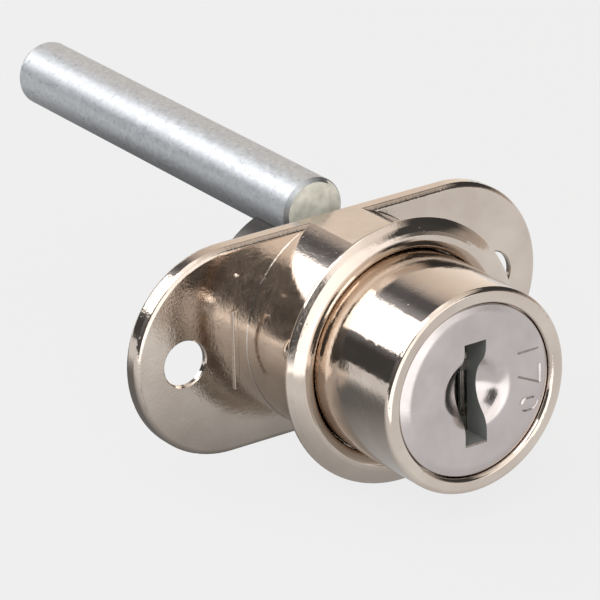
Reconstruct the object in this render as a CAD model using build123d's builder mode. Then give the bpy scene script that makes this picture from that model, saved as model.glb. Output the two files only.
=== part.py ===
from build123d import *

import os
from math import cos, dist, pi, radians, sin, sqrt

# Pedestal lock, push type: a plunger slides in a barrel that stands on an oval mounting plate.
# Millimetres. The lock's axis is Y, the front faces -Y, X runs along the plate and Z is up.
# The origin is on the axis, at the plate's front face. "Forward" is the distance in front of it.

# Mounting plate
plate_length = 41.8
plate_thickness = 1.8
plate_edge_round = 0.5
hole_inset = 4.9
hole_diameter = 4.1
hole_chamfer = 0.12
hole_land = 0.5
rib_gap = 1.2
rib_length = 7.2
rib_width = 0.55
rib_height = 0.22
rib_round = 0.1
pip_across = 10.6
pip_up = 6.7
pip_radius = 0.22

# Barrel
barrel_radius = 9.75
barrel_reach = 8.1
barrel_wall = 0.6
barrel_flat = 0.35
foot_size = 0.08
flange_thickness = 1.2
nub_radius = 1.3
nub_height = 0.45
nub_angle = 170.4
nub_forward = 6.3

# Trim collar
collar_lip_gap = 0.08
collar_lip_slope = 0.9
collar_lip_depth = 0.7
collar_lip_bulge = 0.14
collar_rim_width = 2.67
collar_lead = 1.65
collar_crown = 0.8
collar_crown_width = 1.4
collar_bend = 0.25
collar_bend_width = 0.7
collar_edge_thickness = 0.3
collar_edge_share = 0.45
collar_grip = 1.2
collar_sleeve_wall = 0.6
collar_flare = 1.3
collar_lip_round = 0.4
collar_crown_round = 0.6
collar_bend_round = 2.0

# Plunger: the knob in front, the tail behind
stroke = 5.5
running_gap = 0.05
face_gap = 0.05
knob_stand = 9.82
knob_round = 0.45
knob_rim = 1.4
knob_inner_round = 0.4
shoulder_gap = 0.6
tail_gap = 0.06
tail_length = 9.0
tail_round = 0.2
tail_recess_radius = 4.2
tail_recess_depth = 1.2
guide_width = 2.5
guide_depth = 0.9
guide_gap = 0.06

# Key plug
plug_setback = 0.15
plug_head_thickness = 1.5
plug_head_gap = 0.08
plug_bevel_width = 0.85
plug_bevel_depth = 0.22
plug_bevel_round = 2.0
plug_edge_round = 0.15
plug_radius = 5.6
plug_end_gap = 0.2
dish_radius = 3.0
dish_depth = 1.7
dish_lip_round = 2.0
keyway_width = 2.2
keyway_top = 4.3
keyway_bottom = -4.75
keyway_floor = 1.3
keyway_chamfer = 0.12
ward_setback = 2.6
ward_width = 0.7
ward_height = 0.9
ward_offset = 1.3

# Number stamped on the plug's face: plain digits
digits = "170"
digit_height = 2.1
digit_width = 1.5
digit_stroke = 0.42
digit_depth = 0.07
digit_slant = 68.0
digit_pitch = 2.5
digit_foot = 4.45

# Wafers
wafer_count = 5
wafer_pitch = 1.2
wafer_thickness = 0.8
wafer_lead = 0.9
wafer_half_width = 2.3
wafer_margin = 0.1
wafer_rise = 0.9
wafer_slot_gap = 0.05
wafer_groove_depth = 1.4
window_half_width = 1.25
window_height = 6.6
window_floors = [-3.9, -3.3, -3.6, -3.05, -3.45]
lug_length = 1.9
lug_thickness = 1.1
wafer_spring_radius = 0.35
wafer_spring_length = 3.1

# Snap ring that holds the plug in the plunger
snap_ring_lead = 0.65
snap_ring_thickness = 0.6
snap_ring_bite = 0.4
snap_ring_stand = 0.6
snap_ring_gap = 2.5

# Latch
latch_angle = 31.0
latch_lead = 0.9
latch_thickness = 1.5
latch_width = 6.0
latch_tail = 5.0
latch_travel = 0.75
latch_gap = 0.05
latch_spring_radius = 0.65
latch_slot_wall = 1.5
latch_nose_gap = 0.2
latch_window_slack = 0.25
cam_radius = 1.0
cam_overtravel = 0.15
notch_gap = 0.1

# Return spring
spring_space = 1.45
spring_wire = 0.7
spring_turns = 2.5

# Retaining ring behind the plate
ring_thickness = 0.8
ring_groove_depth = 0.6
ring_stand = 0.9
ring_gap_width = 8.0

# Locking rod
rod_radius = 3.0
rod_length = 44.0
rod_seat_depth = 2.0
rod_clearance = 1.1
rod_near_chamfer = 0.35
rod_far_round = 0.45
crop_step_depth = 0.25
crop_step_offset = 1.5
rod_pin_radius = 1.0
rod_pin_depth = 2.3
rod_pin_setback = 2.7
rod_pin_recess = 0.3

# Worked out from the sizes above
plate_height = 2 * (barrel_radius - barrel_flat)
hole_spacing = plate_length - 2 * hole_inset
rib_offset = barrel_radius + rib_gap
bore_radius = barrel_radius - barrel_wall
knob_radius = bore_radius - running_gap
collar_lip_radius = knob_radius + collar_lip_gap
collar_radius = collar_lip_radius + collar_rim_width
collar_front = barrel_reach + collar_lead
collar_rear = barrel_reach - collar_grip
knob_front = collar_front + knob_stand
counterbore_radius = knob_radius - knob_rim
tail_radius = bore_radius - spring_space
flange_inner = plate_thickness - flange_thickness
opening_radius = tail_radius + tail_gap
plug_bore_radius = plug_radius + running_gap
plug_head_radius = counterbore_radius - plug_head_gap
plug_face = knob_front - plug_setback
plug_shoulder = plug_face - plug_head_thickness
counterbore_floor = plug_shoulder - face_gap
latch_front = barrel_reach + latch_lead
latch_rear = latch_front - latch_thickness
slot_front = latch_front + latch_gap
slot_rear = latch_rear - latch_gap
slot_half_width = latch_width / 2 + latch_gap
notch_width = 2 * (slot_half_width + notch_gap)
slot_end = knob_radius - latch_slot_wall
latch_nose_radius = bore_radius - latch_nose_gap
shoulder_forward = latch_rear - shoulder_gap
cam_offset = latch_travel + cam_overtravel
plug_rear = latch_front + plug_end_gap
snap_ring_forward = plug_rear + snap_ring_lead
snap_ring_inner = plug_radius - snap_ring_bite
snap_ring_outer = plug_radius + snap_ring_stand
keyway_end = plug_rear + keyway_floor
wafer_first = keyway_end + wafer_lead
wafer_reach = plug_radius - wafer_margin
wafer_slot_end = wafer_first - wafer_thickness / 2 - wafer_slot_gap
lug_end = wafer_half_width + lug_length
groove_radius = tail_radius - ring_groove_depth
ring_outer_radius = tail_radius + ring_stand
rod_offset = tail_radius + rod_radius - rod_seat_depth
rod_start = plate_thickness + ring_thickness + rod_clearance
rod_end = rod_start + rod_length
pin_back = rod_start + rod_pin_setback
spring_radius = (tail_radius + bore_radius) / 2
through = 100.0
tolerance = 1e-4

# Plane across the axis whose own X points along the latch bolt
latch_plane = Plane(
    origin=(0, 0, 0),
    x_dir=(cos(radians(latch_angle)), 0, sin(radians(latch_angle))),
    z_dir=(0, -1, 0),
)


def front(forward):
    """Plane across the axis, facing forward, with X along the plate and its own Y up."""
    return Plane.XZ.offset(forward)


def outline(points):
    """Closed outline of (radius, forward) points, ready to be revolved about the axis."""
    with BuildSketch(Plane.XY) as face:
        with BuildLine():
            Polyline(*[(radius, -forward) for radius, forward in points], close=True)
        make_face()
    return face.sketch


def tube_outline(inner, outer, rear, fore):
    """Rectangle in (radius, forward), for a groove, a bore or a ring."""
    return outline([(inner, rear), (outer, rear), (outer, fore), (inner, fore)])


def front_edge(part, radius, forward):
    """The round edge of this radius at this distance forward."""
    round_edges = part.edges().filter_by(GeomType.CIRCLE)
    return round_edges.filter_by(
        lambda e: abs(e.radius - radius) < tolerance and abs(e.arc_center.Y + forward) < tolerance
    )


def finish(part, name):
    """Label a piece and write its file."""
    part.label = name
    export_step(part, f"parts/{name}.step")


os.makedirs("parts", exist_ok=True)


# Small slope round the barrel's foot, which stays inside the plate's rounded edges
with BuildPart() as foot:
    revolve(
        outline(
            [
                (barrel_radius - foot_size, 0),
                (barrel_radius + foot_size, 0),
                (barrel_radius, foot_size),
                (barrel_radius - foot_size, foot_size),
            ]
        ),
        axis=Axis.Y,
    )
    with BuildSketch(front(0)):
        Rectangle(through, plate_height - 2 * plate_edge_round)
    extrude(amount=foot_size, mode=Mode.INTERSECT)


# Housing: oval plate, barrel and rear flange, cast in one
with BuildPart() as housing:
    with BuildSketch(front(0)):
        SlotOverall(plate_length, plate_height)
    extrude(amount=-plate_thickness)
    fillet(housing.faces().filter_by(Axis.Y).edges(), plate_edge_round)
    with BuildSketch(front(-flange_inner)):
        Circle(barrel_radius)
        Rectangle(2 * barrel_radius, plate_height, mode=Mode.INTERSECT)
    extrude(amount=barrel_reach + flange_inner)
    add(foot.part)
    nub_centre = barrel_radius + nub_height - nub_radius
    nub_turn = radians(nub_angle)
    with Locations((nub_centre * cos(nub_turn), -nub_forward, nub_centre * sin(nub_turn))):
        Sphere(nub_radius)
    with BuildSketch(front(0)):
        with GridLocations(2 * rib_offset, 1, 2, 1):
            Rectangle(rib_width, rib_length)
    extrude(amount=rib_height)
    rib_top = (-rib_height - tolerance, -rib_height + tolerance)
    fillet(housing.edges().filter_by_position(Axis.Y, *rib_top), rib_round)
    with Locations((-pip_across, 0, pip_up)):
        Sphere(pip_radius)
    with BuildSketch(front(0)):
        with GridLocations(hole_spacing, 1, 2, 1):
            Circle(hole_diameter / 2)
    extrude(amount=-plate_thickness, mode=Mode.SUBTRACT)
    chamfer(front_edge(housing, hole_diameter / 2, 0), hole_chamfer)
    chamfer(front_edge(housing, hole_diameter / 2, -plate_thickness), plate_thickness - hole_land)
    revolve(
        tube_outline(barrel_radius, through, collar_rear - face_gap, barrel_reach),
        axis=Axis.Y,
        mode=Mode.SUBTRACT,
    )
    revolve(
        tube_outline(0, bore_radius, -flange_inner, barrel_reach),
        axis=Axis.Y,
        mode=Mode.SUBTRACT,
    )
    with BuildSketch(front(-flange_inner)):
        Circle(opening_radius)
        with Locations((0, -opening_radius)):
            Rectangle(
                guide_width - 2 * guide_gap,
                2 * (guide_depth - guide_gap),
                mode=Mode.SUBTRACT,
            )
    extrude(amount=-flange_thickness, mode=Mode.SUBTRACT)
    with BuildSketch(latch_plane.offset(barrel_reach)):
        with Locations((barrel_radius, 0)):
            Rectangle(barrel_radius, notch_width)
    extrude(amount=slot_rear - notch_gap - barrel_reach, mode=Mode.SUBTRACT)
    with BuildSketch(latch_plane.offset(slot_front - stroke + notch_gap)):
        with Locations((barrel_radius, 0)):
            Rectangle(barrel_radius, notch_width)
    extrude(amount=slot_rear - slot_front - 2 * notch_gap, mode=Mode.SUBTRACT)
finish(housing.part, "housing")


# Trim collar: pressed on the barrel's front end
with BuildPart() as trim_collar:
    crown_start = collar_front - collar_crown
    crown_inner = collar_radius - collar_crown_width
    bend_radius = collar_radius - collar_bend_width
    bend_forward = collar_front - collar_bend
    slope_outer = collar_lip_radius + collar_lip_slope
    with BuildSketch(Plane.XY):
        with BuildLine():
            rim = Polyline(
                (collar_lip_radius, collar_lip_depth - collar_front),
                (collar_lip_radius, -barrel_reach),
                (barrel_radius, -barrel_reach),
                (barrel_radius, -collar_rear),
                (barrel_radius + collar_sleeve_wall, -collar_rear),
                (barrel_radius + collar_flare, collar_edge_thickness - crown_start),
                (collar_radius, collar_edge_thickness - crown_start),
                (collar_radius, -crown_start),
                (bend_radius, -bend_forward),
                (crown_inner, -collar_front),
                (slope_outer, -collar_front),
            )
            SagittaArc(rim @ 1, rim @ 0, collar_lip_bulge)
        make_face()
    revolve(axis=Axis.Y)
    fillet(front_edge(trim_collar, bend_radius, bend_forward), collar_bend_round)
    fillet(front_edge(trim_collar, crown_inner, collar_front), collar_crown_round)
    fillet(front_edge(trim_collar, slope_outer, collar_front), collar_lip_round)
    fillet(
        front_edge(trim_collar, collar_radius, crown_start)
        + front_edge(trim_collar, collar_radius, crown_start - collar_edge_thickness),
        collar_edge_thickness * collar_edge_share,
    )
    with BuildSketch(latch_plane.offset(barrel_reach)):
        with Locations((barrel_radius / 2, 0)):
            Rectangle(barrel_radius, notch_width)
    extrude(amount=slot_front + notch_gap - barrel_reach, mode=Mode.SUBTRACT)
finish(trim_collar.part, "trim_collar")


# Plunger: knob, plug bore, latch slot and the tail that carries the locking rod
with BuildPart() as plunger:
    revolve(
        outline(
            [
                (0, -tail_length),
                (tail_radius, -tail_length),
                (tail_radius, shoulder_forward),
                (knob_radius, shoulder_forward),
                (knob_radius, knob_front),
                (0, knob_front),
            ]
        ),
        axis=Axis.Y,
    )
    fillet(front_edge(plunger, knob_radius, knob_front), knob_round)
    fillet(front_edge(plunger, tail_radius, -tail_length), tail_round)
    revolve(
        tube_outline(0, tail_recess_radius, -tail_length, -tail_length + tail_recess_depth)
        + tube_outline(0, plug_bore_radius, slot_front, counterbore_floor)
        + tube_outline(0, counterbore_radius, counterbore_floor, knob_front)
        + tube_outline(
            0,
            snap_ring_outer + 2 * running_gap,
            snap_ring_forward - face_gap,
            snap_ring_forward + snap_ring_thickness + face_gap,
        )
        + tube_outline(
            groove_radius,
            through,
            -plate_thickness - ring_thickness - face_gap,
            -plate_thickness,
        ),
        axis=Axis.Y,
        mode=Mode.SUBTRACT,
    )
    fillet(front_edge(plunger, counterbore_radius, knob_front), knob_inner_round)
    with BuildSketch(front(counterbore_floor)):
        Rectangle(
            2 * (wafer_half_width + 2 * wafer_slot_gap),
            2 * (plug_radius + wafer_groove_depth),
        )
    extrude(amount=wafer_slot_end - counterbore_floor, mode=Mode.SUBTRACT)
    with BuildSketch(latch_plane.offset(slot_front)):
        with Locations((-slot_end, 0)):
            Rectangle(
                slot_end + through,
                2 * slot_half_width,
                align=(Align.MIN, Align.CENTER),
            )
    extrude(amount=slot_rear - slot_front, mode=Mode.SUBTRACT)
    with BuildSketch(front(-rod_start)):
        with Locations((0, rod_offset)):
            Circle(rod_radius)
    extrude(amount=-through, mode=Mode.SUBTRACT)
    with BuildSketch(front(-tail_length)):
        with Locations((0, -tail_radius)):
            Rectangle(guide_width, 2 * guide_depth)
    extrude(amount=tail_length + flange_inner + stroke + face_gap, mode=Mode.SUBTRACT)
    with BuildSketch(Plane.XY.offset(-tail_radius)):
        with Locations((0, pin_back)):
            Circle(rod_pin_radius)
    extrude(amount=tail_radius + rod_offset, mode=Mode.SUBTRACT)
finish(plunger.part, "plunger")


# Strokes of the plain digits that are not round, in shares of a digit's width and height
digit_strokes = {
    "1": [((-0.35, 0.78), (0.1, 1)), ((0.1, 1), (0.1, 0))],
    "7": [((-0.5, 1), (0.5, 1)), ((0.5, 1), (-0.15, 0))],
}


# Key plug: round head with a dish, keyway, wafer slots and an eccentric cam at the back
with BuildPart() as key_plug:
    bevel_start = plug_head_radius - plug_bevel_width
    bevel_end = plug_face - plug_bevel_depth
    revolve(
        outline(
            [
                (0, plug_rear),
                (plug_radius, plug_rear),
                (plug_radius, plug_shoulder),
                (plug_head_radius, plug_shoulder),
                (plug_head_radius, bevel_end),
                (bevel_start, plug_face),
                (0, plug_face),
            ]
        ),
        axis=Axis.Y,
    )
    fillet(front_edge(key_plug, bevel_start, plug_face), plug_bevel_round)
    fillet(front_edge(key_plug, plug_head_radius, bevel_end), plug_edge_round)
    dish_curve = (dish_radius**2 + dish_depth**2) / (2 * dish_depth)
    with Locations((0, -(plug_face - dish_depth + dish_curve), 0)):
        Sphere(dish_curve, mode=Mode.SUBTRACT)
    fillet(front_edge(key_plug, dish_radius, plug_face), dish_lip_round)
    keyway_middle = (keyway_top + keyway_bottom) / 2
    with BuildSketch(front(plug_face)):
        with Locations((0, keyway_middle)):
            Rectangle(keyway_width, keyway_top - keyway_bottom)
    extrude(amount=-ward_setback, mode=Mode.SUBTRACT)
    mouth_ends = key_plug.edges().filter_by(Axis.X)
    face_place = (-plug_face - tolerance, -plug_face + tolerance)
    chamfer(mouth_ends.filter_by_position(Axis.Y, *face_place), keyway_chamfer)
    with BuildSketch(front(plug_face - ward_setback)):
        with Locations((0, keyway_middle)):
            Rectangle(keyway_width, keyway_top - keyway_bottom)
        with Locations((keyway_width / 2, ward_offset), (-keyway_width / 2, -ward_offset)):
            Rectangle(2 * ward_width, ward_height, mode=Mode.SUBTRACT)
    extrude(amount=keyway_end - plug_face + ward_setback, mode=Mode.SUBTRACT)
    for n in range(wafer_count):
        with BuildSketch(front(wafer_first + n * wafer_pitch)):
            Rectangle(2 * (wafer_half_width + wafer_slot_gap), through)
            with Locations((-wafer_half_width, -wafer_spring_length)):
                Rectangle(
                    lug_length + 2 * wafer_slot_gap,
                    wafer_spring_length + lug_thickness + wafer_rise + 2 * wafer_slot_gap,
                    align=(Align.MAX, Align.MIN),
                )
        extrude(
            amount=wafer_thickness / 2 + wafer_slot_gap,
            both=True,
            mode=Mode.SUBTRACT,
        )
    revolve(
        tube_outline(
            snap_ring_inner - running_gap,
            through,
            snap_ring_forward - face_gap,
            snap_ring_forward + snap_ring_thickness + face_gap,
        ),
        axis=Axis.Y,
        mode=Mode.SUBTRACT,
    )
    with BuildSketch(latch_plane.offset(plug_rear)):
        with Locations((0, -cam_offset)):
            Circle(cam_radius)
    extrude(amount=latch_rear + latch_gap - plug_rear)
    for n, digit in enumerate(digits):
        digit_middle = ((len(digits) - 1) / 2 - n) * digit_pitch
        digit_plane = Plane(
            origin=(digit_foot, -plug_face, digit_middle),
            x_dir=(0, 0, -1),
            z_dir=(0, -1, 0),
        )
        with BuildSketch(digit_plane):
            if digit == "0":
                with Locations((0, digit_height / 2)):
                    SlotOverall(digit_height, digit_width, rotation=90)
                    SlotOverall(
                        digit_height - 2 * digit_stroke,
                        digit_width - 2 * digit_stroke,
                        rotation=90,
                        mode=Mode.SUBTRACT,
                    )
            for (across, up), (end_across, end_up) in digit_strokes.get(digit, []):
                SlotCenterPoint(
                    (
                        (across + end_across) / 2 * digit_width,
                        (up + end_up) / 2 * digit_height,
                    ),
                    (end_across * digit_width, end_up * digit_height),
                    digit_stroke,
                )
        extrude(amount=-digit_depth, taper=digit_slant, mode=Mode.SUBTRACT)
finish(key_plug.part, "key_plug")


# Wafers with their springs, from the back of the plug to the front
for n in range(wafer_count):
    wafer_middle = wafer_first + n * wafer_pitch
    with BuildPart() as wafer:
        with BuildSketch(front(wafer_middle)):
            Circle(wafer_reach)
            Rectangle(2 * wafer_half_width, 2 * wafer_reach, mode=Mode.INTERSECT)
            with Locations((-wafer_half_width, 0)):
                Rectangle(
                    lug_length,
                    lug_thickness,
                    align=(Align.MAX, Align.MIN),
                )
            with Locations((0, window_floors[n])):
                Rectangle(
                    2 * window_half_width,
                    window_height,
                    align=(Align.CENTER, Align.MIN),
                    mode=Mode.SUBTRACT,
                )
        extrude(amount=wafer_thickness / 2, both=True)
    finish(wafer.part, f"wafer_{n + 1}")
    with BuildPart() as wafer_spring:
        with BuildSketch(Plane.XY.offset(-wafer_spring_length)):
            with Locations((-lug_end + 2 * wafer_spring_radius, -wafer_middle)):
                Circle(wafer_spring_radius)
        extrude(amount=wafer_spring_length)
    finish(wafer_spring.part, f"wafer_spring_{n + 1}")


# Return spring: closes up towards both ends, between the rear flange and the knob's shoulder
spring_start = -flange_inner + spring_wire / 2
spring_rise = shoulder_forward - spring_wire / 2 - spring_start


def coil_point(share):
    """Point on the wire's middle line, at this share of the way along it."""
    turned = 2 * pi * spring_turns * share
    forward = spring_start + spring_rise * share**2 * (3 - 2 * share)
    return Vector(spring_radius * cos(turned), -forward, spring_radius * sin(turned))


def coil_direction(share):
    """Direction of the wire at this share of the way along it."""
    turned = 2 * pi * spring_turns * share
    sideways = 2 * pi * spring_turns * spring_radius
    rise = spring_rise * 6 * share * (1 - share)
    return Vector(-sideways * sin(turned), -rise, sideways * cos(turned)).normalized()


def meeting_point(start, start_way, end, end_way):
    """Where two arcs meet that leave both ends of a stretch along the wire."""
    chord = end - start
    along = chord.dot(start_way + end_way)
    spread = 2 * (1 - start_way.dot(end_way))
    reach = (sqrt(along**2 + spread * chord.dot(chord)) - along) / spread
    return (start + end + (start_way - end_way) * reach) / 2


quarter_turns = round(4 * spring_turns)
with BuildPart() as return_spring:
    with BuildLine() as coil:
        for quarter in range(quarter_turns):
            near = quarter / quarter_turns
            far = (quarter + 1) / quarter_turns
            ways = coil_direction(near), coil_direction(far)
            ends = coil_point(near), coil_point(far)
            middle = meeting_point(ends[0], ways[0], ends[1], ways[1])
            if quarter == 0:
                Line(ends[0] - ways[0] * spring_wire, ends[0])
            first_arc = TangentArc(ends[0], middle, tangent=ways[0])
            TangentArc(middle, ends[1], tangent=first_arc % 1)
        Line(ends[1], ends[1] + ways[1] * spring_wire)
    with BuildSketch(Plane(origin=coil.line @ 0, z_dir=coil.line % 0)):
        Circle(spring_wire / 2)
    sweep(path=coil.line)
finish(return_spring.part, "return_spring")

quarter_steps = 60
spring_steps = quarter_steps * quarter_turns
spring_points = [tuple(coil_point(step / spring_steps)) for step in range(spring_steps + 1)]
spring_gap = min(
    dist(point, other)
    for step, point in enumerate(spring_points)
    for other in spring_points[step + 2 * quarter_steps :]
)
print(f"return spring: least gap to itself {spring_gap - spring_wire:.2f} mm")
wire_length = sum(edge.length for edge in coil.line.edges())
spring_volume = pi * (spring_wire / 2) ** 2 * wire_length
print(f"return spring: volume {return_spring.part.volume:.3f}, expected {spring_volume:.3f}")


# Snap ring that keeps the plug from being drawn out of the plunger
with BuildPart() as plug_snap_ring:
    revolve(
        tube_outline(
            snap_ring_inner,
            snap_ring_outer,
            snap_ring_forward,
            snap_ring_forward + snap_ring_thickness,
        ),
        axis=Axis.Y,
    )
    with BuildSketch(front(snap_ring_forward)):
        with Locations((0, -snap_ring_outer)):
            Rectangle(snap_ring_gap, snap_ring_outer)
    extrude(amount=snap_ring_thickness, mode=Mode.SUBTRACT)
finish(plug_snap_ring.part, "plug_snap_ring")


# Latch bolt: a plate with a round nose and a window for the plug's cam
with BuildPart() as latch_bolt:
    with BuildSketch(latch_plane.offset(latch_front)):
        Circle(latch_nose_radius)
        with Locations((-latch_tail, 0)):
            Rectangle(
                latch_tail + latch_nose_radius,
                latch_width,
                align=(Align.MIN, Align.CENTER),
                mode=Mode.INTERSECT,
            )
        window_low = -cam_offset - cam_radius - latch_gap
        window_high = cam_radius + latch_gap
        with Locations((window_low, window_low)):
            Rectangle(
                window_high - window_low + latch_window_slack,
                window_high - window_low,
                align=(Align.MIN, Align.MIN),
                mode=Mode.SUBTRACT,
            )
    extrude(amount=-latch_thickness)
finish(latch_bolt.part, "latch_bolt")


# Latch spring, behind the bolt's tail
with BuildPart() as latch_spring:
    spring_seat = Plane(
        origin=latch_plane.offset((latch_front + latch_rear) / 2).from_local_coords(
            (-slot_end, 0, 0)
        ),
        z_dir=latch_plane.x_dir,
    )
    with BuildSketch(spring_seat):
        Circle(latch_spring_radius)
    extrude(amount=slot_end - latch_tail)
finish(latch_spring.part, "latch_spring")


# Retaining ring: rests on the plate's back and stops the plunger coming out
with BuildPart() as retaining_ring:
    revolve(
        tube_outline(
            groove_radius + running_gap,
            ring_outer_radius,
            -plate_thickness - ring_thickness,
            -plate_thickness,
        ),
        axis=Axis.Y,
    )
    with BuildSketch(front(-plate_thickness)):
        with Locations((0, -ring_outer_radius)):
            Rectangle(ring_gap_width, ring_outer_radius)
    extrude(amount=-ring_thickness, mode=Mode.SUBTRACT)
finish(retaining_ring.part, "retaining_ring")


# Locking rod: cropped from round bar and seated in the tail
with BuildPart() as locking_rod:
    with BuildSketch(front(-rod_start)):
        with Locations((0, rod_offset)):
            Circle(rod_radius)
    extrude(amount=-rod_length)
    chamfer(front_edge(locking_rod, rod_radius, -rod_start), rod_near_chamfer)
    fillet(front_edge(locking_rod, rod_radius, -rod_end), rod_far_round)
    with BuildSketch(front(-rod_start)):
        with Locations((crop_step_offset, rod_offset)):
            Rectangle(rod_radius, 2 * rod_radius, align=(Align.MIN, Align.CENTER))
    extrude(amount=-crop_step_depth, mode=Mode.SUBTRACT)
    with BuildSketch(Plane.XY):
        with Locations((0, pin_back)):
            Circle(rod_pin_radius)
    extrude(amount=rod_offset - rod_radius + rod_pin_depth, mode=Mode.SUBTRACT)
finish(locking_rod.part, "locking_rod")


# Rod pin: pressed up through the tail into the rod
with BuildPart() as rod_pin:
    pin_foot = -tail_radius + guide_depth + rod_pin_recess
    with BuildSketch(Plane.XY.offset(pin_foot)):
        with Locations((0, pin_back)):
            Circle(rod_pin_radius)
    extrude(amount=rod_offset - rod_radius + rod_pin_depth - pin_foot)
finish(rod_pin.part, "rod_pin")
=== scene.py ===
import math

import bpy
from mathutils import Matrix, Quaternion, Vector


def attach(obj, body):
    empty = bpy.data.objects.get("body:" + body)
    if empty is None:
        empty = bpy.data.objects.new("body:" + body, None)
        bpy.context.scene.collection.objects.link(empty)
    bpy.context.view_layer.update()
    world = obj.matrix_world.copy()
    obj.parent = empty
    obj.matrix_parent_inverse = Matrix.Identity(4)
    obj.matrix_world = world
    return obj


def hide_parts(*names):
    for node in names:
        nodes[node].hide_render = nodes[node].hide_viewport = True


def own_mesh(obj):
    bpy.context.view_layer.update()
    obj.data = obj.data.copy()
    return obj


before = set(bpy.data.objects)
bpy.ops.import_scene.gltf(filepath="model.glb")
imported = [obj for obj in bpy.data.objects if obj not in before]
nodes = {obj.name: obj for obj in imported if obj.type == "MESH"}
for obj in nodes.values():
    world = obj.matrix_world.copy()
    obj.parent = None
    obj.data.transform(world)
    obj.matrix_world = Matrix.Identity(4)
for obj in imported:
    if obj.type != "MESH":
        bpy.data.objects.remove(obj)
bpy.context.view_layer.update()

# Camera: the photograph's viewing angle, aimed a little left of the lock's axis
CAMERA_AZIMUTH = -33.88
CAMERA_ELEVATION = 22.99
CAMERA_ROLL = -1.52
CAMERA_DISTANCE = 0.400
CAMERA_TARGET = Vector((-0.00254, 0.00250, 0.00152))
FOCAL_PIXELS = 4659
PICTURE_PIXELS = 600
SENSOR_WIDTH = 36
NEAREST_SEEN = 0.01
FARTHEST_SEEN = 20

# The finishes. Colours are linear, and a _ROUGH pair goes from the smoothest place to the dullest.
# A _SCALE is how fine a texture is, in features per metre. A _RANGE is the part of a texture's or
# facing's values over which its effect comes in. A _DEPTH is a relief's depth in metres
NOISE_NARROW = (0.35, 0.65)
NOISE_WIDE = (0.3, 0.7)

# Bright nickel: the plate with its drift of colour, pits and orange peel
NICKEL_DEEP = (0.60, 0.52, 0.455, 1)
NICKEL_PALE = (0.70, 0.615, 0.54, 1)
NICKEL_DRIFT_SCALE = 190
NICKEL_SHINE_SCALE = 850
PEEL_SCALE = 1000
PEEL_DEPTH = 0.000005
PIT_COLOUR = (0.22, 0.18, 0.15, 1)
PIT_TINT = 0.7
PIT_SCALE = 1700
PIT_RANGE = (0.12, 0.06)
PIT_AREA_SCALE = 420
PIT_AREA_RANGE = (0.58, 0.64)
PIT_DEPTH = 0.000012

# Bright nickel: fine grain in patches, with the share of it that is there between them
GRAIN_SCALE = 3600
GRAIN_PATCH_SCALE = 330
GRAIN_PATCH_RANGE = (0.44, 0.60)
HOUSING_ROUGH = (0.07, 0.14)
HOUSING_GRAIN_DEPTH = 0.000015
HOUSING_GRAIN_BETWEEN = 0.5
COLLAR_ROUGH = (0.06, 0.11)
COLLAR_GRAIN_DEPTH = 0.000010
COLLAR_GRAIN_BETWEEN = 0.2
KNOB_ROUGH = (0.05, 0.10)
KNOB_GRAIN_DEPTH = 0.000010
KNOB_GRAIN_BETWEEN = 0.15

# The tail's near-black colour and its roughness behind the plate's front, and how far behind the
# plate's front the nickel ends
TAIL_DARK_COLOUR = (0.09, 0.085, 0.08, 1)
TAIL_BEHIND_ROUGH = 0.36
PLATING_FADE = 0.0008

# Satin nickel: lathe rings over the plug's face, whose spacing is two pi over LATHE_RINGS
SATIN_DEEP = (0.52, 0.475, 0.465, 1)
SATIN_PALE = (0.595, 0.55, 0.54, 1)
SATIN_DRIFT_SCALE = 260
SATIN_ROUGH = (0.15, 0.22)
SATIN_SHINE_SCALE = 1300
SATIN_GRAIN_SCALE = 5200
SATIN_GRAIN_DEPTH = 0.000004
LATHE_RINGS = 42000.0
LATHE_RING_DEPTH = 0.0000006

# The keyway's walls, within half its width with the chamfers: painted shade in the slot makes them
# darker grey, and they are duller
KEYWAY_REACH = 0.00115
KEYWAY_RANGE = (0.3, 0.1)
KEYWAY_SHADE_COLOUR = (0.21, 0.22, 0.21, 1)
KEYWAY_ROUGH = 0.7
KEYWAY_DULLED = 0.7

# Zinc plate: spangle, bloom over it, dark specks, and a darker chamfer
SPANGLE_DEEP = (0.50, 0.52, 0.55, 1)
SPANGLE_PALE = (0.62, 0.64, 0.66, 1)
SPANGLE_SCALE = 3600
SPANGLE_STRETCH = (1, 0.7, 1)
BLOOM_COLOUR = (0.57, 0.59, 0.61, 1)
BLOOM_TINT = 0.6
BLOOM_SCALE = 300
SPECK_COLOUR = (0.28, 0.30, 0.31, 1)
SPECK_TINT = 0.6
SPECK_SCALE = 2300
SPECK_RANGE = (0.60, 0.74)
RIM_COLOUR = (0.16, 0.17, 0.17, 1)
RIM_TINT = 0.4
RIM_RANGE = (0.45, 0.6)
ZINC_ROUGH = (0.40, 0.55)
ZINC_SHINE_SCALE = 2600
WAVE_SCALE = 900
WAVE_DEPTH = 0.000012
ZINC_GRAIN_SCALE = 4200
ZINC_GRAIN_DEPTH = 0.000007

# The bar's cropped ends: bare dull steel with stains, its near-white colour partly a painted
# highlight
CROPPED_PALE_AND_LIT = (0.98, 0.98, 0.90, 1)
CROPPED_STAIN = (0.70, 0.72, 0.64, 1)
CROPPED_STAIN_SCALE = 900
CROPPED_STAIN_RANGE = (0.4, 0.7)
CROPPED_RANGE = (0.8, 0.95)
CROPPED_ROUGH = 0.75
CROPPED_DULLED = 0.6

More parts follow.
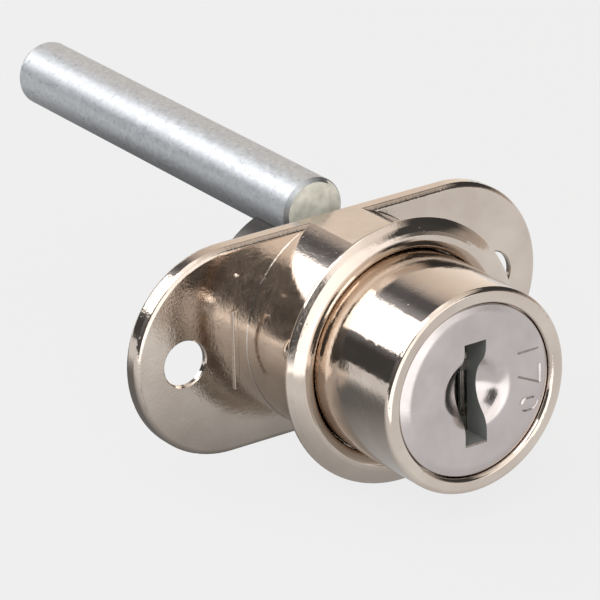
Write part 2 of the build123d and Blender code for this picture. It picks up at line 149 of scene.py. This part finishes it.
# Stampings and springs: marks along the way they were drawn, and stain
MARK_SCALE = 2600
MARK_DEPTH = 0.000004
STAIN_SCALE = 500
STAIN_RANGE = (0.35, 0.7)
STEEL_GRAIN_SCALE = 5000
STEEL_GRAIN_DEPTH = 0.000002
WAFER_COLOUR = (0.50, 0.48, 0.43, 1)
WAFER_STAIN = (0.26, 0.25, 0.22, 1)
WAFER_ROUGH = (0.2, 0.34)
WAFER_MARKS = (1, 1, 0.2)
BOLT_COLOUR = (0.56, 0.56, 0.57, 1)
BOLT_STAIN = (0.28, 0.28, 0.30, 1)
BOLT_ROUGH = (0.25, 0.4)
BOLT_MARKS = (0.2, 1, 0.2)
SPRING_COLOUR = (0.22, 0.21, 0.20, 1)
SPRING_STAIN = (0.07, 0.07, 0.07, 1)
SPRING_ROUGH = (0.28, 0.42)
SPRING_MARKS = (0.3, 1, 0.3)

# Surroundings: the lock lies on a pale table. The camera sees the table in the background's tone,
# with SHADOW_SHARE of its real light and shadow
FLOOR_SIZE = 3.0
FLOOR_HEIGHT = -0.0119
BACKGROUND_TONE = (238, 238, 238)
FLOOR_ALBEDO = 0.72
SHADOW_SHARE = 0.05

# The table as the metal mirrors it, painted by place in metres: painted shade under and behind the
# lock, a painted glow straight in front of the lock and a painted dark side at the front left
TABLE_OPEN = 0.85
TABLE_SHADE = 0.17
SHADE_CENTRE = (-0.01, 0.03, 0)
SHADE_INNER = 0.030
SHADE_OUTER = 0.060
TABLE_GLOW = 2.0
GLOW_SLANT = 0.35
GLOW_SET = 0.007
GLOW_SOFTNESS = 0.004
GLOW_START = -0.036
GLOW_END = -0.046
TABLE_DARK = 0.10
DARK_SLANT = 0.7
DARK_START = -0.005
DARK_END = -0.022
DARK_FROM = -0.045
DARK_FULL = -0.070

# Long softbox above the lock on its left, by its angle from the right over the top
SOFTBOX_ANGLE = 127
SOFTBOX_SPREAD = 42
SOFTBOX_DISTANCE = 0.6
SOFTBOX_LENGTH = 1.5
SOFTBOX_BACK = 0.3
SOFTBOX_POWER = 6.0

# Share of each direction along the lock's axis, from -1 in front to 1 behind, over which the room
# changes from one set of strips to the next
BEHIND_FADE = (0.58, 0.66)
ASLANT_FADE = (-0.45, -0.55)
AHEAD_FADE = (-0.80, -0.88)

# The room round the lock in strips along the lock's axis, from the right (0) over the top to the
# left (180 degrees): behind the lock, beside it, at a slant in front of it and straight in front
ROOM_STRENGTH = 2.0
ROOM_BEHIND = [
    (0, (1.12, 1.02, 0.92)),
    (30, (1.02, 0.92, 0.82)),
    (60, (0.80, 0.70, 0.61)),
    (70, (0.60, 0.54, 0.50)),
    (82, (0.13, 0.13, 0.14)),
    (92, (0.13, 0.13, 0.14)),
    (102, (0.42, 0.43, 0.46)),
    (150, (0.22, 0.22, 0.23)),
    (157, (0.07, 0.07, 0.07)),
    (178, (0.07, 0.07, 0.07)),
]
ROOM_BESIDE = [
    (0, (0.60, 0.52, 0.46)),
    (10, (0.45, 0.40, 0.36)),
    (18, (0.06, 0.06, 0.06)),
    (48, (0.06, 0.06, 0.06)),
    (60, (0.80, 0.72, 0.65)),
    (80, (1.00, 0.94, 0.88)),
    (90, (1.80, 1.75, 1.70)),
    (150, (0.20, 0.20, 0.21)),
    (178, (0.08, 0.08, 0.08)),
]
ROOM_ASLANT = [
    (0, (0.50, 0.45, 0.41)),
    (10, (0.32, 0.29, 0.27)),
    (18, (0.07, 0.07, 0.07)),
    (45, (0.07, 0.07, 0.07)),
    (56, (1.10, 1.04, 0.98)),
    (100, (1.50, 1.46, 1.42)),
    (117, (1.30, 1.27, 1.24)),
    (124, (0.12, 0.12, 0.12)),
    (178, (0.09, 0.09, 0.09)),
]
ROOM_AHEAD = [
    (0, (1.60, 1.57, 1.54)),
    (178, (1.80, 1.76, 1.72)),
]


def srgb(red, green, blue):
    """Linear colour of an 8-bit display colour."""
    def linear(value):
        value = value / 255
        return value / 12.92 if value <= 0.04045 else ((value + 0.055) / 1.055) ** 2.4
    return (linear(red), linear(green), linear(blue), 1.0)


class Nodes:
    """A node tree with short calls to add nodes and links."""

    def __init__(self, tree):
        self.tree = tree
        self.tree.nodes.clear()

    def node(self, kind):
        return self.tree.nodes.new(kind)

    def link(self, source, target):
        self.tree.links.new(source, target)

    def feed(self, socket, value):
        """Sets a socket to a plain value, or links it."""
        if isinstance(value, bpy.types.NodeSocket):
            self.link(value, socket)
        else:
            socket.default_value = value

    def math(self, operation, first, second=0.0):
        node = self.node("ShaderNodeMath")
        node.operation = operation
        self.feed(node.inputs[0], first)
        self.feed(node.inputs[1], second)
        return node.outputs["Value"]

    def spread(self, value, low, high, start=0.0, end=1.0):
        """Maps a value's low to high onto start to end, and no farther."""
        node = self.node("ShaderNodeMapRange")
        node.inputs["From Min"].default_value = low
        node.inputs["From Max"].default_value = high
        node.inputs["To Min"].default_value = start
        node.inputs["To Max"].default_value = end
        self.link(value, node.inputs["Value"])
        return node.outputs["Result"]

    def mix(self, share, first, second):
        node = self.node("ShaderNodeMix")
        node.data_type = "RGBA"
        self.feed(node.inputs["Factor"], share)
        self.feed(node.inputs["A"], first)
        self.feed(node.inputs["B"], second)
        return node.outputs["Result"]


class Surface(Nodes):
    """A metal's material: one shader, with textures placed in the piece's own metres."""

    def __init__(self, name):
        self.material = bpy.data.materials.new(name)
        self.material.use_nodes = True
        super().__init__(self.material.node_tree)
        output = self.node("ShaderNodeOutputMaterial")
        self.shader = self.node("ShaderNodeBsdfPrincipled")
        self.shader.inputs["Metallic"].default_value = 1.0
        self.link(self.shader.outputs["BSDF"], output.inputs["Surface"])
        coordinates = self.node("ShaderNodeTexCoord").outputs
        self.place = coordinates["Object"]
        self.facets = coordinates["Normal"]
        self.normal = None

    def stretched(self, stretch):
        mapping = self.node("ShaderNodeMapping")
        mapping.inputs["Scale"].default_value = stretch
        self.link(self.place, mapping.inputs["Vector"])
        return mapping.outputs["Vector"]

    def noise(self, scale, detail=4.0, roughness=0.5, stretch=(1, 1, 1)):
        node = self.node("ShaderNodeTexNoise")
        node.inputs["Scale"].default_value = scale
        node.inputs["Detail"].default_value = detail
        node.inputs["Roughness"].default_value = roughness
        self.link(self.stretched(stretch), node.inputs["Vector"])
        return node.outputs["Fac"]

    def cells(self, scale, output="Distance", stretch=(1, 1, 1)):
        node = self.node("ShaderNodeTexVoronoi")
        node.inputs["Scale"].default_value = scale
        self.link(self.stretched(stretch), node.inputs["Vector"])
        return node.outputs[output]

    def along(self, axis, vector=None):
        """Place along one of the piece's own axes, or another vector's share of that axis."""
        parts = self.node("ShaderNodeSeparateXYZ")
        self.link(vector or self.place, parts.inputs["Vector"])
        return parts.outputs[axis]

    def facing(self, axis):
        """How squarely the surface faces along one of the piece's own axes, either way."""
        return self.math("ABSOLUTE", self.along(axis, self.facets))

    def from_axis(self):
        """Distance from the lock's axis."""
        across = self.math("POWER", self.along("X"), 2.0)
        up = self.math("POWER", self.along("Z"), 2.0)
        return self.math("SQRT", self.math("ADD", across, up))

    def colour(self, value):
        self.feed(self.shader.inputs["Base Color"], value)

    def roughness(self, value):
        self.feed(self.shader.inputs["Roughness"], value)

    def dulled(self, share):
        """Takes this share of the metal's mirror away."""
        self.feed(self.shader.inputs["Metallic"], self.math("SUBTRACT", 1.0, share))

    def bump(self, height, depth):
        """Adds relief of this depth in metres on top of what is there."""
        node = self.node("ShaderNodeBump")
        node.inputs["Strength"].default_value = 1.0
        node.inputs["Distance"].default_value = depth
        self.link(height, node.inputs["Height"])
        if self.normal is not None:
            self.link(self.normal, node.inputs["Normal"])
        self.normal = node.outputs["Normal"]
        self.link(self.normal, self.shader.inputs["Normal"])


def bright_nickel(name, rough, grain_depth, grain_between):
    """Bright nickel on a casting: warm, with orange peel, patches of fine grain and rare pits."""
    m = Surface(name)
    drift = m.spread(m.noise(NICKEL_DRIFT_SCALE), *NOISE_NARROW)
    pits = m.spread(m.cells(PIT_SCALE), *PIT_RANGE)
    rare = m.spread(m.noise(PIT_AREA_SCALE, detail=2), *PIT_AREA_RANGE)
    pitted = m.math("MULTIPLY", pits, rare)
    plate = m.mix(drift, NICKEL_DEEP, NICKEL_PALE)
    colour = m.mix(m.math("MULTIPLY", pitted, PIT_TINT), plate, PIT_COLOUR)
    m.colour(colour)
    finish = m.spread(m.noise(NICKEL_SHINE_SCALE, detail=6), *NOISE_WIDE, *rough)
    m.roughness(finish)
    patches = m.noise(GRAIN_PATCH_SCALE, detail=3)
    share = m.spread(patches, *GRAIN_PATCH_RANGE, grain_between, 1.0)
    grain = m.noise(GRAIN_SCALE, detail=3, roughness=0.6)
    m.bump(m.noise(PEEL_SCALE, detail=2), PEEL_DEPTH)
    m.bump(m.math("MULTIPLY", grain, share), grain_depth)
    m.bump(m.math("SUBTRACT", 1.0, pitted), PIT_DEPTH)
    return m, colour, finish


def housing_nickel():
    """The housing's nickel: the casting under it is coarser, so its reflections are blurred."""
    m, _, _ = bright_nickel(
        "housing_nickel", HOUSING_ROUGH, HOUSING_GRAIN_DEPTH, HOUSING_GRAIN_BETWEEN
    )
    return m.material


def collar_nickel():
    """The pressed collar's nickel: smoother than the housing's."""
    m, _, _ = bright_nickel(
        "collar_nickel", COLLAR_ROUGH, COLLAR_GRAIN_DEPTH, COLLAR_GRAIN_BETWEEN
    )
    return m.material


def plunger_nickel():
    """The knob's nickel, the smoothest; behind the plate's front the tail turns near-black and
    rougher.
    """
    m, colour, finish = bright_nickel(
        "plunger_nickel", KNOB_ROUGH, KNOB_GRAIN_DEPTH, KNOB_GRAIN_BETWEEN
    )
    behind = m.spread(m.along("Y"), 0.0, PLATING_FADE)
    # Behind the plate's front the colour turns near-black
    m.colour(m.mix(behind, colour, TAIL_DARK_COLOUR))
    m.roughness(m.math("MAXIMUM", finish, m.math("MULTIPLY", behind, TAIL_BEHIND_ROUGH)))
    return m.material


def satin_nickel():
    """Satin nickel of the plug's face: faint lathe rings, fine grain, and keyway walls painted
    darker grey as shade, and duller.
    """
    m = Surface("satin_nickel")
    drift = m.spread(m.noise(SATIN_DRIFT_SCALE), *NOISE_NARROW)
    near_keyway = m.math("LESS_THAN", m.math("ABSOLUTE", m.along("X")), KEYWAY_REACH)
    wall = m.math("MULTIPLY", near_keyway, m.spread(m.facing("Y"), *KEYWAY_RANGE))
    # Painted shade: the keyway's walls are coloured darker grey
    m.colour(m.mix(wall, m.mix(drift, SATIN_DEEP, SATIN_PALE), KEYWAY_SHADE_COLOUR))
    finish = m.spread(m.noise(SATIN_SHINE_SCALE, detail=5), *NOISE_WIDE, *SATIN_ROUGH)
    m.roughness(m.math("MAXIMUM", finish, m.math("MULTIPLY", wall, KEYWAY_ROUGH)))
    m.dulled(m.math("MULTIPLY", wall, KEYWAY_DULLED))
    m.bump(m.math("SINE", m.math("MULTIPLY", m.from_axis(), LATHE_RINGS)), LATHE_RING_DEPTH)
    m.bump(m.noise(SATIN_GRAIN_SCALE, detail=3, roughness=0.6), SATIN_GRAIN_DEPTH)
    return m.material


def zinc_plate():
    """Bluish zinc plate on rolled bar: fine spangle and mottled shine; the ends are dull, and their
    near-white colour is partly a painted highlight.
    """
    m = Surface("zinc_plate")
    crystals = m.node("ShaderNodeSeparateColor")
    m.link(m.cells(SPANGLE_SCALE, "Color", SPANGLE_STRETCH), crystals.inputs["Color"])
    spangle = m.mix(crystals.outputs["Red"], SPANGLE_DEEP, SPANGLE_PALE)
    bloom = m.spread(m.noise(BLOOM_SCALE, detail=5), *NOISE_NARROW, 0.0, BLOOM_TINT)
    specks = m.spread(m.noise(SPECK_SCALE, detail=3), *SPECK_RANGE, 0.0, SPECK_TINT)
    bar = m.mix(specks, m.mix(bloom, spangle, BLOOM_COLOUR), SPECK_COLOUR)
    cropped = m.spread(m.facing("Y"), *CROPPED_RANGE)
    chamfer = m.spread(m.facing("Y"), *RIM_RANGE)
    rim = m.math("MULTIPLY", chamfer, m.math("SUBTRACT", 1.0, cropped))
    bar = m.mix(m.math("MULTIPLY", rim, RIM_TINT), bar, RIM_COLOUR)
    stain = m.spread(m.noise(CROPPED_STAIN_SCALE, detail=5), *CROPPED_STAIN_RANGE)
    # The cropped ends: real stains on bare steel, with a near-white colour that is partly a painted
    # highlight
    m.colour(m.mix(cropped, bar, m.mix(stain, CROPPED_PALE_AND_LIT, CROPPED_STAIN)))
    shine = m.spread(m.noise(ZINC_SHINE_SCALE), *NOISE_WIDE, *ZINC_ROUGH)
    m.roughness(m.math("MAXIMUM", shine, m.math("MULTIPLY", cropped, CROPPED_ROUGH)))
    m.dulled(m.math("MULTIPLY", cropped, CROPPED_DULLED))
    m.bump(m.noise(WAVE_SCALE), WAVE_DEPTH)
    m.bump(m.noise(ZINC_GRAIN_SCALE, detail=3, roughness=0.6), ZINC_GRAIN_DEPTH)
    return m.material


def stamped(name, plain, stained, rough, stretch):
    """Plain stamped or drawn metal, with its marks along one direction."""
    m = Surface(name)
    marks = m.noise(MARK_SCALE, roughness=0.6, stretch=stretch)
    stain = m.spread(m.noise(STAIN_SCALE, detail=5), *STAIN_RANGE)
    m.colour(m.mix(m.math("MULTIPLY", stain, marks), plain, stained))
    m.roughness(m.spread(marks, *NOISE_WIDE, *rough))
    m.bump(marks, MARK_DEPTH)
    m.bump(m.noise(STEEL_GRAIN_SCALE, detail=2), STEEL_GRAIN_DEPTH)
    return m.material


def dress():
    """Gives every solid its material; what isn't named here is spring steel."""
    nickel_silver = stamped("nickel_silver", WAFER_COLOUR, WAFER_STAIN, WAFER_ROUGH, WAFER_MARKS)
    hardened_steel = stamped("hardened_steel", BOLT_COLOUR, BOLT_STAIN, BOLT_ROUGH, BOLT_MARKS)
    spring_steel = stamped(
        "spring_steel", SPRING_COLOUR, SPRING_STAIN, SPRING_ROUGH, SPRING_MARKS
    )
    finishes = {
        "housing": housing_nickel(),
        "trim_collar": collar_nickel(),
        "plunger": plunger_nickel(),
        "key_plug": satin_nickel(),
        "locking_rod": zinc_plate(),
        "latch_bolt": hardened_steel,
    }
    for name, piece in nodes.items():
        finish = finishes.get(name, spring_steel)
        if name.startswith("wafer_") and not name.startswith("wafer_spring"):
            finish = nickel_silver
        piece.data.materials.clear()
        piece.data.materials.append(finish)


def closing_spring():
    """Copy of the return spring's coil, attached to the housing with a mesh of its own; the
    original spring is hidden.
    """
    coil = bpy.data.objects.new("return_coil", nodes["return_spring"].data.copy())
    bpy.context.scene.collection.objects.link(coil)
    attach(coil, "housing")
    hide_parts("return_spring")
    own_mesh(coil)


def painted_table_light(m):
    """Painted light and shade of the table where the metal mirrors it."""
    place = m.node("ShaderNodeTexCoord").outputs["Object"]
    parts = m.node("ShaderNodeSeparateXYZ")
    m.link(place, parts.inputs["Vector"])
    x = parts.outputs["X"]
    y = parts.outputs["Y"]
    away = m.node("ShaderNodeVectorMath")
    away.operation = "DISTANCE"
    m.link(place, away.inputs[0])
    away.inputs[1].default_value = SHADE_CENTRE
    # Painted shade under and behind the lock, fading to the open table
    tone = m.spread(away.outputs["Value"], SHADE_INNER, SHADE_OUTER, TABLE_SHADE, TABLE_OPEN)
    # Painted glow straight in front of the lock
    side = m.math("ADD", x, m.math("MULTIPLY", y, GLOW_SLANT))
    ahead = m.spread(side, GLOW_SOFTNESS - GLOW_SET, -GLOW_SOFTNESS - GLOW_SET)
    glow = m.spread(y, GLOW_START, GLOW_END, 0.0, TABLE_GLOW)
    tone = m.math("MAXIMUM", tone, m.math("MULTIPLY", ahead, glow))
    # Painted dark side at the front left
    slant = m.math("SUBTRACT", x, m.math("MULTIPLY", y, DARK_SLANT))
    left = m.spread(slant, DARK_START, DARK_END)
    dark = m.math("MULTIPLY", left, m.spread(y, DARK_FROM, DARK_FULL))
    darkened = m.math("MULTIPLY", tone, m.math("SUBTRACT", 1.0, dark))
    return m.math("MAXIMUM", darkened, TABLE_DARK)


def floor():
    """Pale table under the lock: plain to the camera but for a faint share of shadow."""
    corners = [(-FLOOR_SIZE, -FLOOR_SIZE), (FLOOR_SIZE, -FLOOR_SIZE)]
    corners += [(FLOOR_SIZE, FLOOR_SIZE), (-FLOOR_SIZE, FLOOR_SIZE)]
    mesh = bpy.data.meshes.new("floor")
    mesh.from_pydata([(x, y, FLOOR_HEIGHT) for x, y in corners], [], [(0, 1, 2, 3)])
    plane = bpy.data.objects.new("floor", mesh)
    bpy.context.scene.collection.objects.link(plane)
    material = bpy.data.materials.new("floor")
    material.use_nodes = True
    m = Nodes(material.node_tree)
    lit = m.node("ShaderNodeBsdfDiffuse")
    lit.inputs["Color"].default_value = (FLOOR_ALBEDO, FLOOR_ALBEDO, FLOOR_ALBEDO, 1)
    plain = m.node("ShaderNodeEmission")
    plain.inputs["Color"].default_value = srgb(*BACKGROUND_TONE)
    # What the metal mirrors: the table's painted light and shade, glowing brighter than white in
    # front
    mirrored = m.node("ShaderNodeEmission")
    mirrored.inputs["Color"].default_value = (1, 1, 1, 1)
    m.link(painted_table_light(m), mirrored.inputs["Strength"])
    path = m.node("ShaderNodeLightPath").outputs
    by_camera = m.node("ShaderNodeMixShader")
    m.link(m.math("MULTIPLY", path["Is Camera Ray"], 1 - SHADOW_SHARE), by_camera.inputs["Fac"])
    m.link(lit.outputs["BSDF"], by_camera.inputs[1])
    m.link(plain.outputs["Emission"], by_camera.inputs[2])
    blend = m.node("ShaderNodeMixShader")
    by_metal = m.math("MAXIMUM", path["Is Glossy Ray"], path["Is Transmission Ray"])
    m.link(by_metal, blend.inputs["Fac"])
    m.link(by_camera.outputs["Shader"], blend.inputs[1])
    m.link(mirrored.outputs["Emission"], blend.inputs[2])
    output = m.node("ShaderNodeOutputMaterial")
    m.link(blend.outputs["Shader"], output.inputs["Surface"])
    mesh.materials.append(material)


def room_strips(tree, angle, strips):
    """Colour ramp over the angle round the lock's axis, from 0 to 180 degrees."""
    ramp = tree.node("ShaderNodeValToRGB")
    elements = ramp.color_ramp.elements
    while len(elements) < len(strips):
        elements.new(1.0)
    for element, (degrees, colour) in zip(elements, strips):
        element.position = degrees / 180
        red, green, blue = (value / ROOM_STRENGTH for value in colour)
        element.color = (red, green, blue, 1)
    tree.link(angle, ramp.inputs["Fac"])
    return ramp.outputs["Color"]


def room():
    """The studio round the lock, as the metal mirrors it; the camera sees the background's tone."""
    world = bpy.data.worlds.new("room")
    bpy.context.scene.world = world
    world.use_nodes = True
    tree = Nodes(world.node_tree)
    direction = tree.node("ShaderNodeSeparateXYZ")
    tree.link(tree.node("ShaderNodeTexCoord").outputs["Generated"], direction.inputs["Vector"])
    x, y, z = (direction.outputs[axis] for axis in "XYZ")
    angle = tree.math("DIVIDE", tree.math("ARCTAN2", z, x), math.pi)
    behind = tree.spread(y, *BEHIND_FADE)
    aslant = tree.spread(y, *ASLANT_FADE)
    ahead = tree.spread(y, *AHEAD_FADE)
    strips = tree.mix(
        behind,
        room_strips(tree, angle, ROOM_BESIDE),
        room_strips(tree, angle, ROOM_BEHIND),
    )
    strips = tree.mix(aslant, strips, room_strips(tree, angle, ROOM_ASLANT))
    strips = tree.mix(ahead, strips, room_strips(tree, angle, ROOM_AHEAD))
    studio = tree.node("ShaderNodeBackground")
    studio.inputs["Strength"].default_value = ROOM_STRENGTH
    tree.link(strips, studio.inputs["Color"])
    plain = tree.node("ShaderNodeBackground")
    plain.inputs["Color"].default_value = srgb(*BACKGROUND_TONE)
    blend = tree.node("ShaderNodeMixShader")
    tree.link(tree.node("ShaderNodeLightPath").outputs["Is Camera Ray"], blend.inputs["Fac"])
    tree.link(studio.outputs["Background"], blend.inputs[1])
    tree.link(plain.outputs["Background"], blend.inputs[2])
    output = tree.node("ShaderNodeOutputWorld")
    tree.link(blend.outputs["Shader"], output.inputs["Surface"])


def softbox():
    """Long soft lamp along the lock's axis, above it on the left."""
    angle = math.radians(SOFTBOX_ANGLE)
    lamp = bpy.data.lights.new("softbox", "AREA")
    lamp.shape = "RECTANGLE"
    lamp.size = SOFTBOX_LENGTH
    lamp.size_y = 2 * SOFTBOX_DISTANCE * math.tan(math.radians(SOFTBOX_SPREAD / 2))
    lamp.energy = SOFTBOX_POWER
    light = bpy.data.objects.new("softbox", lamp)
    outwards = Vector((math.cos(angle), 0, math.sin(angle)))
    light.location = SOFTBOX_DISTANCE * outwards + Vector((0, SOFTBOX_BACK, 0))
    light.rotation_euler = outwards.to_track_quat("Z", "Y").to_euler()
    light.visible_camera = False
    bpy.context.scene.collection.objects.link(light)


def camera():
    """The camera at the photograph's viewing angle."""
    azimuth = math.radians(CAMERA_AZIMUTH)
    elevation = math.radians(CAMERA_ELEVATION)
    level = math.cos(elevation)
    back = Vector((math.sin(azimuth) * level, -math.cos(azimuth) * level, math.sin(elevation)))
    lens = bpy.data.cameras.new("camera")
    lens.sensor_width = SENSOR_WIDTH
    lens.lens = FOCAL_PIXELS / PICTURE_PIXELS * SENSOR_WIDTH
    lens.clip_start = NEAREST_SEEN
    lens.clip_end = FARTHEST_SEEN
    view = bpy.data.objects.new("camera", lens)
    view.location = CAMERA_TARGET + back * CAMERA_DISTANCE
    view.rotation_mode = "QUATERNION"
    roll = Quaternion((0, 0, 1), math.radians(CAMERA_ROLL))
    view.rotation_quaternion = back.to_track_quat("Z", "Y") @ roll
    bpy.context.scene.collection.objects.link(view)
    bpy.context.scene.camera = view


dress()
closing_spring()
floor()
room()
softbox()
camera()
bpy.context.scene.view_settings.view_transform = "Standard"
